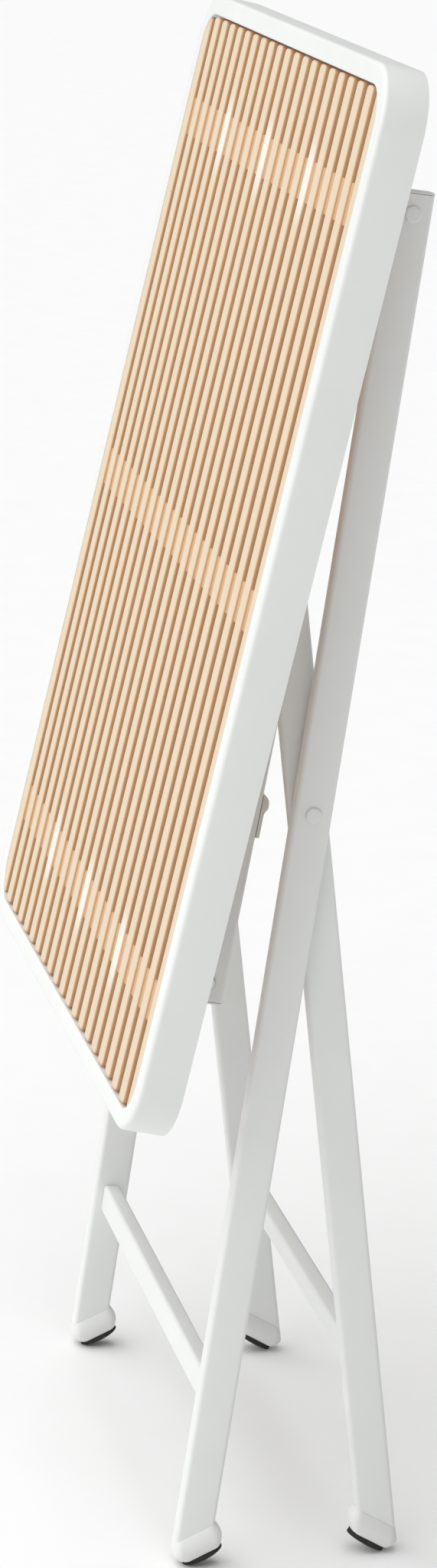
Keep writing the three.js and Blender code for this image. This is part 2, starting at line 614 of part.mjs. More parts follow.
// Stand the table on its four soles: in this pose they touch the floor at their outer ends.
const outerHeel = footPoint(OUTER_FOOT, -PAD_LENGTH / 2, 0);
const innerHeel = footPoint(INNER_FOOT, -PAD_LENGTH / 2, 0).rotateAround(new THREE.Vector2(), -SPREAD);
outerFrame.rotation.y = Math.atan2(innerHeel.y - outerHeel.y, innerHeel.x - outerHeel.x);
table.updateMatrixWorld(true);
const box = new THREE.Box3().setFromObject(table, true);
const middle = box.getCenter(new THREE.Vector3());
table.position.set(-middle.x, -middle.y, -box.min.z);

export default table;
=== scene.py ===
"""Folding tray table: beige moulded slats in a rolled white rim, on crossed legs of flat steel tube.

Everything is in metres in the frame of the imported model. Each piece is modelled in the plain frame
of its own body, with Z along the leg or along the top, and is then turned into place.
"""
import json
import math
import bpy
from mathutils import Matrix, Vector


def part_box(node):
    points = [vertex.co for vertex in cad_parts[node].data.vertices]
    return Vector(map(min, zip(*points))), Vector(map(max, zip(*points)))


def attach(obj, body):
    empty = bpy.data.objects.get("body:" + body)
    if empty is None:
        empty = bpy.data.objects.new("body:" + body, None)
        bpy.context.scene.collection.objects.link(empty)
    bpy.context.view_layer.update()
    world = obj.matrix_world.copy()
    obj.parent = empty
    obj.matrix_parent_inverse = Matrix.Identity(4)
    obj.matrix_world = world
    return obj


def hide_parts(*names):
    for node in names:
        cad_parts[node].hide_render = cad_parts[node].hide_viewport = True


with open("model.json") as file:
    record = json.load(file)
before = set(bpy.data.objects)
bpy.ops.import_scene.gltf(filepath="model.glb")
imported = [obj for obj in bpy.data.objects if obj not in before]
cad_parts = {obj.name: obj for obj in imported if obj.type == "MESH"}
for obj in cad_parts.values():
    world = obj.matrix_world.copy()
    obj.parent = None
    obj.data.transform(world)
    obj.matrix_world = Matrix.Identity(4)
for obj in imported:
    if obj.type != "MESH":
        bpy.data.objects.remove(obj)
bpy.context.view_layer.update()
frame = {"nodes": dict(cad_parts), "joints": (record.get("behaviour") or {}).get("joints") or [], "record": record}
MM = 0.001

# ---- sizes, in millimetres ---------------------------------------------------------------
TOP_LENGTH, TOP_WIDTH, RIM_HEIGHT = 676.0, 512.0, 28.0
TOP_CORNER, RIM_FACE, RIM_ROLL, RIM_SHEET = 38.0, 12.5, 3.0, 1.2
RIM_RETURN, RIM_STEP, RIM_STEP_DEPTH = 11.0, 0.8, 0.6
HINGE_DROP, HINGE_SPAN = 24.5, 505.0
SLATS, SLAT_WIDTH, SLAT_DEPTH, SLAT_RECESS = 21, 14.0, 12.0, 1.0
SLAT_END_GAP, SLAT_SIDE_GAP = 2.3, 0.6
SLAT_EDGE, SLAT_END_ROUND, SLAT_WALL = 1.1, 3.6, 2.2
# a rib starts below the slats' faces and stops short of their undersides
RIB_WIDTH, RIB_RECESS, RIB_SHORTFALL, RIB_EDGE = 26.0, 1.3, 1.0, 0.5
TUBE_WIDTH, TUBE_THICKNESS, TUBE_CORNER = 25.0, 12.0, 3.0
UPPER_LEG, KNEE_ARM, END_REACH = 380.0, 133.0, 12.5
OUTER_Y, INNER_Y, LINK_Y = 183.0, 169.4, 155.8
PAD_LENGTH, PAD_WIDTH, PAD_THICKNESS, PAD_OFFSET = 28.5, 19.0, 3.6, 8.5
SOLE_SIDES, SOLE_RIB, SOLE_TREAD = 96, 0.35, 1.2
SHOE_HEIGHT, SHOE_FLOOR, SHOE_GAP = 18.5, 10.0, 0.3
# each leg's sole: its turn from square to the leg, the side it lies towards, its depth below the pivot
OUTER_FOOT = (math.radians(32), 1, 508.0)
INNER_FOOT = (math.radians(38), -1, 513.5)
CATCH_FROM_HINGE, CATCH_LENGTH, CATCH_WIDTH = 112.0, 28.0, 8.0
CATCH_STRIP, CATCH_NOSE, CATCH_NOSE_LENGTH, CATCH_GAP = 2.4, 4.6, 11.0, 0.3
CAP_FLANGE, CAP_GAP, CAP_EDGE = 1.2, 0.3, 0.6
THROAT_INSET, THROAT_LENGTH, THROAT_MIDDLE = 1.8, 8.0, 3.9
CROSSBAR_DEPTH, CROSSBAR_HEIGHT, CROSSBAR_CORNER, CROSSBAR_GAP = 12.0, 20.0, 2.4, 0.3
OUTER_CROSSBAR_DROP, INNER_CROSSBAR_DROP = 398.0, 384.0
HEAD_RADIUS, HEAD_HEIGHT, HEAD_DOME, PIN_RADIUS = 5.2, 1.8, 1.7, 3.0
SIDES = (("right", -1), ("left", 1))

# ---- where each body stands --------------------------------------------------------------
joint_at = {j["name"]: Vector(j["pos_m"]) for j in frame["joints"]}
leg_pivot = joint_at["leg_pivot"]
top_hinge = joint_at["top_hinge"]
link_hinge = joint_at["link_hinge"]


def middle(node):
    """The middle of a node's box."""
    low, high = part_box(node)
    return (Vector(low) + Vector(high)) / 2


knee = middle("knee_washer_right")
knee.y = 0.0


def lean(base, tip):
    """The angle of a line from base to tip, from upright towards +X."""
    run = tip - base
    return math.atan2(run.x, run.z)


def stand(origin, angle):
    """A frame at origin whose Z leans by an angle towards +X."""
    return Matrix.Translation(origin) @ Matrix.Rotation(angle, 4, "Y")


OUTER = stand(leg_pivot, lean(leg_pivot, top_hinge))
INNER = stand(leg_pivot, lean(leg_pivot, knee))
LINK = stand(link_hinge, lean(link_hinge, knee))
LINK_LENGTH = (knee - link_hinge).length / MM
TOP = stand(top_hinge, lean(link_hinge, top_hinge))
TOP = TOP @ Matrix.Translation((-HINGE_DROP * MM, 0, -HINGE_SPAN / 2 * MM))


# ---- modelling helpers -------------------------------------------------------------------
def deselect():
    """Leaves edit mode and selects nothing."""
    if bpy.context.object and bpy.context.object.mode != "OBJECT":
        bpy.ops.object.mode_set(mode="OBJECT")
    bpy.ops.object.select_all(action="DESELECT")


def box(name, size, centre):
    """A block of a size in millimetres, centred in the body's own frame."""
    deselect()
    bpy.ops.mesh.primitive_cube_add(size=1, location=Vector(centre) * MM)
    piece = bpy.context.object
    piece.name = name
    piece.data.name = name
    piece.scale = Vector(size) * MM
    bpy.ops.object.transform_apply(location=True, rotation=True, scale=True)
    return piece


def pick(piece, kind, test):
    """Enters edit mode with only the vertices, edges or faces that pass the test selected."""
    if bpy.context.object and bpy.context.object.mode != "OBJECT":
        bpy.ops.object.mode_set(mode="OBJECT")
    bpy.context.view_layer.objects.active = piece
    mesh = piece.data
    for part in (mesh.vertices, mesh.edges, mesh.polygons):
        part.foreach_set("select", [False] * len(part))
    modes = (kind == "vertex", kind == "edge", kind == "face")
    bpy.context.tool_settings.mesh_select_mode = modes
    if kind == "vertex":
        for vertex in mesh.vertices:
            vertex.select = test(vertex.co / MM)
    elif kind == "edge":
        for edge in mesh.edges:
            a, b = (mesh.vertices[i].co / MM for i in edge.vertices)
            edge.select = test(a, b)
    else:
        for face in mesh.polygons:
            face.select = test(face.center / MM, face.normal)
    bpy.ops.object.mode_set(mode="EDIT")


def leave():
    """Leaves edit mode."""
    bpy.ops.object.mode_set(mode="OBJECT")


def modify(piece, kind, **settings):
    """Adds a modifier with its settings and applies it."""
    deselect()
    bpy.context.view_layer.objects.active = piece
    piece.select_set(True)
    modifier = piece.modifiers.new(kind.title(), kind)
    for key, value in settings.items():
        setattr(modifier, key, value)
    bpy.ops.object.modifier_apply(modifier=modifier.name)


def joined(pieces, name):
    """Several pieces as one object."""
    deselect()
    for piece in pieces:
        piece.select_set(True)
    bpy.context.view_layer.objects.active = pieces[0]
    bpy.ops.object.join()
    pieces[0].name = name
    pieces[0].data.name = name
    return pieces[0]


def copy_of(piece, name, shift):
    """A copy with its own mesh, moved by a shift in millimetres."""
    twin = piece.copy()
    twin.data = piece.data.copy()
    twin.name = name
    twin.data.name = name
    bpy.context.collection.objects.link(twin)
    twin.data.transform(Matrix.Translation(Vector(shift) * MM))
    return twin


def finish(piece, place, body, material, nodes, angle=35):
    """Turns a piece into its place, smooths it, gives it its material and hangs it on its body, hiding the nodes
    it stands for.
    """
    deselect()
    piece.matrix_world = place
    piece.select_set(True)
    bpy.context.view_layer.objects.active = piece
    bpy.ops.object.transform_apply(location=True, rotation=True, scale=True)
    bpy.ops.object.shade_smooth_by_angle(angle=math.radians(angle))
    piece.data.materials.clear()
    piece.data.materials.append(material)
    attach(piece, body)
    if nodes:
        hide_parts(*nodes)
    return piece


# ---- materials ---------------------------------------------------------------------------
# how far apart the patches lie where a finish drifts, and the run of a streak across a slat, in mm
DRIFT_SIZE, STREAK_SIZE = 60, 4
# the painted highlights, pale patches on a few slats: half their spacing and the last slat they reach, in pitches
# from the middle, and their fade along the slat, in mm from a hinge tube
HIGHLIGHT_HALF_SPACING, HIGHLIGHT_LIMIT, HIGHLIGHT_CORE, HIGHLIGHT_END = 2.5, 7, 6, 34
# painted shade: browner tones down the side of a slat and on its underside, by share of its depth, between its
# face and its underside
SLAT_FACE_TONE, SLAT_UNDER_SHADE_TONE = "#dfccb1", "#d9b78f"
SLAT_SIDE_SHADE_TONES = ((0.06, "#d2a87a"), (0.27, "#bb8757"), (0.9, "#bb8757"), (0.96, "#d9b78f"))


def linear(code):
    """An sRGB hex colour as linear light."""
    values = [int(code[i:i + 2], 16) / 255 for i in (1, 3, 5)]
    light = (v / 12.92 if v <= 0.04045 else ((v + 0.055) / 1.055) ** 2.4 for v in values)
    return (*light, 1.0)


def add(tree, kind, settings=None, links=None):
    """Adds a node, sets its properties and inputs, and links named inputs to other nodes' outputs."""
    node = tree.nodes.new(kind)
    for key, value in (settings or {}).items():
        if isinstance(key, str) and hasattr(node, key):
            setattr(node, key, value)
        else:
            node.inputs[key].default_value = value
    for key, (source, output) in (links or {}).items():
        tree.links.new(source.outputs[output], node.inputs[key])
    return node


def new_material(name, settings):
    """A material with one shader, its fixed values set on the shader's own sockets."""
    material = bpy.data.materials.new(name)
    material.use_nodes = True
    tree = material.node_tree
    shader = tree.nodes["Principled BSDF"]
    for key, value in settings.items():
        shader.inputs[key].default_value = value
    return material, tree, shader


def grain(tree, shader, size_mm, height_mm, strength, rough_low, rough_high, seed=0.0):
    """A fine skin: bumps of one size, and a wider drift in roughness."""
    where = add(tree, "ShaderNodeTexCoord")
    shifted = add(tree, "ShaderNodeMapping", {"Location": (seed, seed * 0.7, seed * 1.3)},
                  {"Vector": (where, "Object")})
    fine = add(tree, "ShaderNodeTexNoise",
               {"Scale": 1 / (size_mm * MM), "Detail": 2.0, "Roughness": 0.5},
               {"Vector": (shifted, "Vector")})
    bump = add(tree, "ShaderNodeBump", {"Strength": strength, "Distance": height_mm * MM},
               {"Height": (fine, "Fac")})
    tree.links.new(bump.outputs["Normal"], shader.inputs["Normal"])
    wide = add(tree, "ShaderNodeTexNoise",
               {"Scale": 1 / (DRIFT_SIZE * MM), "Detail": 3.0, "Roughness": 0.6},
               {"Vector": (shifted, "Vector")})
    drift = add(tree, "ShaderNodeMapRange", {"To Min": rough_low, "To Max": rough_high},
                {"Value": (wide, "Fac")})
    tree.links.new(drift.outputs["Result"], shader.inputs["Roughness"])
    return where, wide


def skinned(name, settings, tones, **skin):
    """A grained material whose colour drifts between two tones, along with its roughness."""
    material, tree, shader = new_material(name, settings)
    _, wide = grain(tree, shader, **skin)
    low, high = tones
    tone = add(tree, "ShaderNodeMix", {"data_type": "RGBA", 6: linear(low), 7: linear(high)},
               {"Factor": (wide, "Fac")})
    tree.links.new(tone.outputs[2], shader.inputs["Base Color"])
    return material


def powder_coat():
    """White polyester powder coat, baked on steel: a faint orange peel and a satin sheen."""
    return skinned("white_powder_coat_on_steel", {"IOR": 1.5}, ("#e7e9e7", "#eef0ee"),
                   size_mm=1.6, height_mm=0.03, strength=0.25, rough_low=0.38, rough_high=0.5)


def moulded_slat(pitch):
    """Beige polypropylene, moulded: a matt top skin, painted shade as a browner tone down the sides
    and underside of each slat, and painted highlights as pale patches on a few slats near the hinge tubes."""
    material, tree, shader = new_material("beige_moulded_polypropylene", {"IOR": 1.49})
    where, _ = grain(tree, shader, 0.9, 0.04, 0.3, 0.5, 0.62, seed=0.31)
    # into the top's own frame: X is then minus the height above the underside, Z runs along the slats
    origin = TOP.to_translation()
    tilt = TOP.to_euler().y
    home = add(tree, "ShaderNodeVectorMath", {"operation": "SUBTRACT", 1: origin},
               {0: (where, "Object")})
    turned = add(tree, "ShaderNodeVectorRotate",
                 {"rotation_type": "Y_AXIS", "Angle": tilt, "invert": True}, {"Vector": (home, "Vector")})
    axes = add(tree, "ShaderNodeSeparateXYZ", {}, {0: (turned, "Vector")})
    face = (-RIM_HEIGHT + SLAT_RECESS) * MM
    depth = add(tree, "ShaderNodeMapRange",
                {"From Min": face, "From Max": face + SLAT_DEPTH * MM, "To Min": 0.0, "To Max": 1.0},
                {"Value": (axes, "X")})
    # painted shade: the slat's colour turns brown down its sides and underside, by depth below its face
    shade_ramp = add(tree, "ShaderNodeValToRGB", {}, {"Fac": (depth, "Result")})
    shade_ramp.color_ramp.elements[0].color = linear(SLAT_FACE_TONE)
    shade_ramp.color_ramp.elements[1].color = linear(SLAT_UNDER_SHADE_TONE)
    for share, tone in SLAT_SIDE_SHADE_TONES:
        shade_ramp.color_ramp.elements.new(share).color = linear(tone)
    # long faint streaks where the melt ran along the slat
    stretched = add(tree, "ShaderNodeMapping", {"Scale": (1.0, 1.0, 0.03)},
                    {"Vector": (turned, "Vector")})
    streak = add(tree, "ShaderNodeTexNoise",
                 {"Scale": 1 / (STREAK_SIZE * MM), "Detail": 2.0, "Roughness": 0.5},
                 {"Vector": (stretched, "Vector")})
    lift = add(tree, "ShaderNodeMapRange", {"To Min": 0.0, "To Max": 0.10}, {"Value": (streak, "Fac")})
    streaked = add(tree, "ShaderNodeMix", {"data_type": "RGBA", 7: linear("#fbeede")},
                   {"Factor": (lift, "Result"), 6: (shade_ramp, "Color")})
    # painted highlights: pale strips on a few slats, fading along the slat away from a hinge tube, only on the
    # slats' faces
    offset = add(tree, "ShaderNodeMath",
                 {"operation": "PINGPONG", 1: HIGHLIGHT_HALF_SPACING * pitch * MM}, {0: (axes, "Y")})
    half_slat = SLAT_WIDTH / 2
    near_slat = add(tree, "ShaderNodeMapRange",
                    {"From Min": (half_slat - 1) * MM, "From Max": (half_slat + 1) * MM,
                     "To Min": 1.0, "To Max": 0.0},
                    {"Value": (offset, "Value")})
    inside = add(tree, "ShaderNodeMath", {"operation": "ABSOLUTE"}, {0: (axes, "Y")})
    not_edge = add(tree, "ShaderNodeMath", {"operation": "LESS_THAN", 1: HIGHLIGHT_LIMIT * pitch * MM},
                   {0: (inside, "Value")})
    along = add(tree, "ShaderNodeMath", {"operation": "ABSOLUTE"}, {0: (axes, "Z")})
    from_hinge = add(tree, "ShaderNodeMath", {"operation": "SUBTRACT", 1: HINGE_SPAN / 2 * MM},
                     {0: (along, "Value")})
    distance = add(tree, "ShaderNodeMath", {"operation": "ABSOLUTE"}, {0: (from_hinge, "Value")})
    fade = add(tree, "ShaderNodeMapRange",
               {"interpolation_type": "SMOOTHSTEP", "From Min": HIGHLIGHT_CORE * MM,
                "From Max": HIGHLIGHT_END * MM, "To Min": 0.75, "To Max": 0.0},
               {"Value": (distance, "Value")})
    highlight = add(tree, "ShaderNodeMath", {"operation": "MULTIPLY"},
               {0: (near_slat, "Result"), 1: (fade, "Result")})
    highlight = add(tree, "ShaderNodeMath", {"operation": "MULTIPLY"},
               {0: (highlight, "Value"), 1: (not_edge, "Value")})
    shallow = add(tree, "ShaderNodeMapRange",
                  {"From Min": 0.0, "From Max": 0.25, "To Min": 1.0, "To Max": 0.0},
                  {"Value": (depth, "Result")})
    highlight = add(tree, "ShaderNodeMath", {"operation": "MULTIPLY"},
               {0: (highlight, "Value"), 1: (shallow, "Result")})
    # the painted highlight is laid over the slat's colour
    highlighted = add(tree, "ShaderNodeMix", {"data_type": "RGBA", 7: linear("#f7f2ea")},
                 {"Factor": (highlight, "Value"), 6: (streaked, 2)})
    tree.links.new(highlighted.outputs[2], shader.inputs["Base Color"])
    return material


def moulded_white():
    """White polypropylene, moulded and sparked: matt, slightly warm, with a fine grain."""
    return skinned("white_moulded_polypropylene", {"IOR": 1.49}, ("#e3e4e2", "#ecedea"), seed=0.12,
                   size_mm=0.8, height_mm=0.05, strength=0.35, rough_low=0.46, rough_high=0.6)


def sole_rubber():
    """Black moulded rubber, dusty from the floor: very matt, with greyer patches."""
    return skinned("black_moulded_rubber", {"IOR": 1.52}, ("#232323", "#3a3936"), seed=0.53,
                   size_mm=0.7, height_mm=0.08, strength=0.5, rough_low=0.72, rough_high=0.9)


def plated_steel():
    """Zinc-plated steel, cold headed: dull silver with a fine grain."""
    return skinned("zinc_plated_steel", {"Metallic": 1.0}, ("#b9bbbd", "#d4d5d6"), seed=0.77,
                   size_mm=0.6, height_mm=0.02, strength=0.3, rough_low=0.28, rough_high=0.42)


def natural_nylon():
    """Natural nylon, moulded: off-white and faintly waxy."""
    return skinned("natural_moulded_nylon", {"IOR": 1.53, "Subsurface Weight": 0.05},
                   ("#e2dfd8", "#ece9e2"), seed=0.9,
                   size_mm=0.8, height_mm=0.03, strength=0.3, rough_low=0.35, rough_high=0.5)


def studio_paper():
    """Matt white background paper: it scatters light and hardly shines."""
    return skinned("studio_paper", {"IOR": 1.4, "Specular IOR Level": 0.1}, ("#f8f8f8", "#fcfcfc"),
                   size_mm=3.0, height_mm=0.02, strength=0.1, rough_low=0.85, rough_high=0.95)


OPENING_WIDTH = TOP_WIDTH - 2 * RIM_FACE
OPENING_LENGTH = TOP_LENGTH - 2 * RIM_FACE
SLAT_PITCH = (OPENING_WIDTH - 2 * SLAT_SIDE_GAP - SLAT_WIDTH) / (SLATS - 1)
COAT = powder_coat()
SLAT = moulded_slat(SLAT_PITCH)
WHITE = moulded_white()
RUBBER = sole_rubber()
PLATED = plated_steel()
NYLON = natural_nylon()
MATERIAL_OF = {
    "white_paint": COAT, "slat_plastic": SLAT, "white_plastic": WHITE,
    "rubber": RUBBER, "plated_steel": PLATED, "nylon": NYLON,
}
for part in frame["record"]["subparts"]:
    mesh = frame["nodes"][part["node"]].data
    mesh.materials.clear()
    mesh.materials.append(MATERIAL_OF[part["material_slot"]])


# ---- table top ---------------------------------------------------------------------------
def rounded_block(name, size, centre, radius, segments):
    """A block whose four edges along X are rounded, as the plan corners of the top are."""
    piece = box(name, size, centre)
    pick(piece, "edge", lambda a, b: abs(a.x - b.x) > 0.5 * size[0])
    bpy.ops.mesh.bevel(offset=radius * MM, segments=segments, affect="EDGES")
    leave()
    return piece


def roll_rim():
    """One sheet, rolled: a flat face with a soft outer edge, a skirt, and a return inside."""
    size = (RIM_HEIGHT, TOP_WIDTH, TOP_LENGTH)
    rim = rounded_block("rolled_rim", size, (-RIM_HEIGHT / 2, 0, 0), TOP_CORNER, 16)

    def on_face(x):
        return abs(x + RIM_HEIGHT) < 0.01

    pick(rim, "edge", lambda a, b: on_face(a.x) and on_face(b.x))
    bpy.ops.mesh.bevel(offset=RIM_ROLL * MM, segments=5, affect="EDGES")
    pick(rim, "face", lambda c, n: n.x < -0.99 and on_face(c.x))
    bpy.ops.mesh.inset(thickness=(RIM_FACE - RIM_ROLL) * MM, use_even_offset=True)
    bpy.ops.mesh.inset(thickness=RIM_STEP * MM, depth=-RIM_STEP_DEPTH * MM, use_even_offset=True)
    bpy.ops.mesh.extrude_region_move(TRANSFORM_OT_translate={"value": (RIM_RETURN * MM, 0, 0)})
    bpy.ops.mesh.delete(type="FACE")
    pick(rim, "face", lambda c, n: n.x > 0.99 and abs(c.x) < 0.01)
    bpy.ops.mesh.inset(thickness=RIM_FACE * MM, use_even_offset=True)
    bpy.ops.mesh.delete(type="FACE")
    leave()
    modify(rim, "SOLIDIFY", thickness=RIM_SHEET * MM, offset=-1.0, use_even_offset=True)
    return finish(rim, TOP, "table_top", COAT, ["top_rim"], angle=30)


def mould_slats():
    """Slats with soft edges and round ends, and the ribs that cross between them."""
    length = OPENING_LENGTH - 2 * SLAT_END_GAP
    width = OPENING_WIDTH - 2 * SLAT_SIDE_GAP
    top = -RIM_HEIGHT + SLAT_RECESS
    centre = top + SLAT_DEPTH / 2
    first = -width / 2 + SLAT_WIDTH / 2
    master = rounded_block("slat", (SLAT_DEPTH, SLAT_WIDTH, length), (centre, 0, 0), SLAT_END_ROUND, 5)
    pick(master, "edge", lambda a, b: abs(a.x - top) < 0.01 and abs(b.x - top) < 0.01)
    bpy.ops.mesh.bevel(offset=SLAT_EDGE * MM, segments=4, affect="EDGES")
    pick(master, "face", lambda c, n: n.x > 0.99)
    bpy.ops.mesh.inset(thickness=SLAT_WALL * MM)
    hollow = (SLAT_WALL - SLAT_DEPTH) * MM
    bpy.ops.mesh.extrude_region_move(TRANSFORM_OT_translate={"value": (hollow, 0, 0)})
    leave()
    slats = [copy_of(master, f"slat_{i}", (0, first + i * SLAT_PITCH, 0)) for i in range(SLATS)]
    bpy.data.objects.remove(master)
    corner = TOP_CORNER - RIM_FACE - SLAT_END_GAP
    limit = rounded_block("limit", (2 * SLAT_DEPTH, width, length), (centre, 0, 0), corner, 14)
    for slat in (slats[0], slats[-1]):
        modify(slat, "BOOLEAN", operation="INTERSECT", object=limit, solver="EXACT")
    bpy.data.objects.remove(limit)
    rib_depth = SLAT_DEPTH - RIB_RECESS - RIB_SHORTFALL
    ribs = []
    for number, along in enumerate((-HINGE_SPAN / 2, 0, HINGE_SPAN / 2)):
        rib = box(f"rib_{number}", (rib_depth, width - SLAT_WIDTH, RIB_WIDTH),
                  (top + RIB_RECESS + rib_depth / 2, 0, along))
        pick(rib, "edge", lambda a, b: max(a.x, b.x) < top + RIB_RECESS + 0.01)
        bpy.ops.mesh.bevel(offset=RIB_EDGE * MM, segments=2, affect="EDGES")
        leave()
        ribs.append(rib)
    panel = joined(slats + ribs, "moulded_slats")
    return finish(panel, TOP, "table_top", SLAT, ["slat_panel"], angle=40)


# ---- tubes -------------------------------------------------------------------------------
def tube(name, bottom, top, y):
    """A length of flat tube with drawn round corners, standing along Z."""
    size = (TUBE_WIDTH, TUBE_THICKNESS, top - bottom)
    piece = box(name, size, (0, y, (top + bottom) / 2))
    pick(piece, "edge", lambda a, b: abs(a.z - b.z) > 0.9 * size[2])
    bpy.ops.mesh.bevel(offset=TUBE_CORNER * MM, segments=7, affect="EDGES")
    leave()
    return piece


def foot_place(foot, y):
    """The frame of a sole in its leg: X along the sole, Z up from its underside."""
    slope, inward, drop = foot
    place = Matrix.Translation(Vector((inward * PAD_OFFSET, y, -drop)) * MM)
    return place @ Matrix.Rotation(-inward * slope, 4, "Y")


def leg(name, foot, top, y, place, body):
    """A leg tube, its foot sawn parallel to its sole."""
    piece = tube(name, -foot[2] - TUBE_WIDTH, top, y)
    pick(piece, "face", lambda c, n: True)
    at_sole = foot_place(foot, 0)
    bpy.ops.mesh.bisect(plane_co=at_sole @ Vector((0, 0, (SHOE_FLOOR + 1) * MM)),
                        plane_no=at_sole.to_3x3() @ Vector((0, 0, 1)), clear_inner=True, use_fill=True)
    leave()
    return finish(piece, place, body, COAT, [name])


def end_cap(name, bottom_up, height, y, place, body):
    """A moulded cap that closes a tube, with a thin flange whose edge is eased."""
    flange = tube(name, height + CAP_GAP, height + CAP_GAP + CAP_FLANGE, y)
    pick(flange, "edge", lambda a, b: min(a.z, b.z) > height + CAP_GAP + CAP_FLANGE - 0.01)
    bpy.ops.mesh.bevel(offset=CAP_EDGE * MM, segments=3, affect="EDGES")
    leave()
    throat_size = (TUBE_WIDTH - 2 * THROAT_INSET, TUBE_THICKNESS - 2 * THROAT_INSET, THROAT_LENGTH)
    throat = box(name + "_throat", throat_size, (0, y, height - THROAT_MIDDLE))
    cap = joined([flange, throat], name + "_moulded")
    if bottom_up:
        place = place @ Matrix.Translation((0, y * MM, 0)) @ Matrix.Rotation(math.pi, 4, "X")
        place = place @ Matrix.Translation((0, -y * MM, 0))
    return finish(cap, place, body, WHITE, [name])


def crossbar(name, leg_y, drop, place, body):
    """A flat tube across a frame, from one leg's inner face to the other's."""
    span = 2 * leg_y - TUBE_THICKNESS - 2 * CROSSBAR_GAP
    bar = box(name + "_tube", (CROSSBAR_DEPTH, span, CROSSBAR_HEIGHT), (0, 0, -drop))
    pick(bar, "edge", lambda a, b: abs(a.y - b.y) > 0.9 * span)
    bpy.ops.mesh.bevel(offset=CROSSBAR_CORNER * MM, segments=6, affect="EDGES")
    leave()
    return finish(bar, place, body, COAT, [name])


# ---- feet --------------------------------------------------------------------------------
def bezier(a, b, c, d, steps):
    """Points on a curve from a to d, without its first point."""
    for i in range(1, steps + 1):
        t = i / steps
        s = 1 - t
        yield a * s ** 3 + b * 3 * s * s * t + c * 3 * s * t * t + d * t ** 3


def plate(name, outline, thickness, y):
    """An outline in X and Z, drawn as a ring of points and extruded to a thickness along Y."""
    deselect()
    bpy.ops.mesh.primitive_circle_add(vertices=len(outline), radius=MM, fill_type="NGON",
                                      rotation=(math.pi / 2, 0, 0))
    piece = bpy.context.object
    piece.name = name
    piece.data.name = name
    bpy.ops.object.transform_apply(location=True, rotation=True, scale=True)
    starts = [v.co.copy() for v in piece.data.vertices]
    turning = sum(a.x * b.z - b.x * a.z for a, b in zip(starts, starts[1:] + starts[:1]))
    wanted = sum(a.x * b.z - b.x * a.z for a, b in zip(outline, outline[1:] + outline[:1]))
    points = list(outline) if turning * wanted > 0 else list(reversed(outline))
    for index, point in enumerate(points):
        pick(piece, "vertex", lambda co, i=index: (co * MM - starts[i]).length < 1e-7)
        target = Vector((point.x, y - thickness / 2, point.z)) * MM
        bpy.ops.transform.translate(value=target - starts[index])
    pick(piece, "face", lambda c, n: True)
    bpy.ops.mesh.extrude_region_move(TRANSFORM_OT_translate={"value": (0, thickness * MM, 0)})
    bpy.ops.mesh.select_all(action="SELECT")
    bpy.ops.mesh.normals_make_consistent(inside=False)
    leave()
    return piece


def shoe(node, foot, y, place, body):
    """The moulded boot over the tube's end: it swells from the tube's section to the oval of the sole."""
    slope, inward, _ = foot
    base = PAD_THICKNESS + SHOE_GAP
    rise = SHOE_HEIGHT - base
    toe_at_seam = SHOE_HEIGHT * math.tan(slope) + (TUBE_WIDTH / 2 - PAD_OFFSET) / math.cos(slope)

    def leg_edge(part):
        edge = (base + part * rise) * math.tan(slope)
        return edge - (TUBE_WIDTH / 2 + PAD_OFFSET) / math.cos(slope) - 0.4

    def toe(share, swell):
        return (PAD_LENGTH / 2 + 0.3) * (1 - share) + toe_at_seam * share + swell

    # how far up, then the toe end, the heel end and the width of each ring
    stages = [
        (0.0, toe(0, 0), -PAD_LENGTH / 2 - 0.1, PAD_WIDTH - 0.6),
        (0.03, toe(0.03, 0.2), -14.7, PAD_WIDTH - 0.1),
        (0.08, toe(0.08, 0.6), -15.5, PAD_WIDTH + 0.6),
        (0.16, toe(0.18, 1.2), -16.6, PAD_WIDTH + 1.5),
        (0.3, toe(0.4, 1.9), -17.8, PAD_WIDTH + 2.4),
        (0.42, toe(0.58, 2.1), -18.2, PAD_WIDTH + 2.5),
        (0.55, toe(0.74, 2.1), leg_edge(0.55), PAD_WIDTH + 1.9),
        (0.7, toe(0.86, 1.6), leg_edge(0.7), PAD_WIDTH + 0.3),
        (0.82, toe(0.94, 1.1), leg_edge(0.82), 17.4),
        (0.91, toe(0.98, 0.75), leg_edge(0.91), 15.6),
        (0.97, toe(1, 0.5), leg_edge(0.97), 14.3),
        (1.0, toe(1, 0.1), leg_edge(1.0) + 0.3, 13.5),
    ]
    full_length, full_width = 32.0, 15.0
    boot = box(node + "_moulded", (full_length, full_width, rise), (0, 0, base + rise / 2))
    pick(boot, "edge", lambda a, b: abs(a.z - b.z) > 0.9 * rise)
    bpy.ops.mesh.bevel(offset=6.0 * MM, segments=9, affect="EDGES")
    for part, _, _, _ in stages[1:-1]:
        pick(boot, "face", lambda c, n: True)
        bpy.ops.mesh.bisect(plane_co=(0, 0, (base + part * rise) * MM), plane_no=(0, 0, 1))
    for part, toe_end, heel_end, width in stages:
        height = base + part * rise
        pick(boot, "vertex", lambda co, h=height: abs(co.z - h) < 0.01)
        bpy.ops.transform.resize(value=((toe_end - heel_end) / full_length, width / full_width, 1),
                                 center_override=(0, 0, height * MM))
        bpy.ops.transform.translate(value=(inward * (toe_end + heel_end) / 2 * MM, 0, 0))
    leave()
    return finish(boot, place @ foot_place(foot, y), body, WHITE, [node], angle=60)


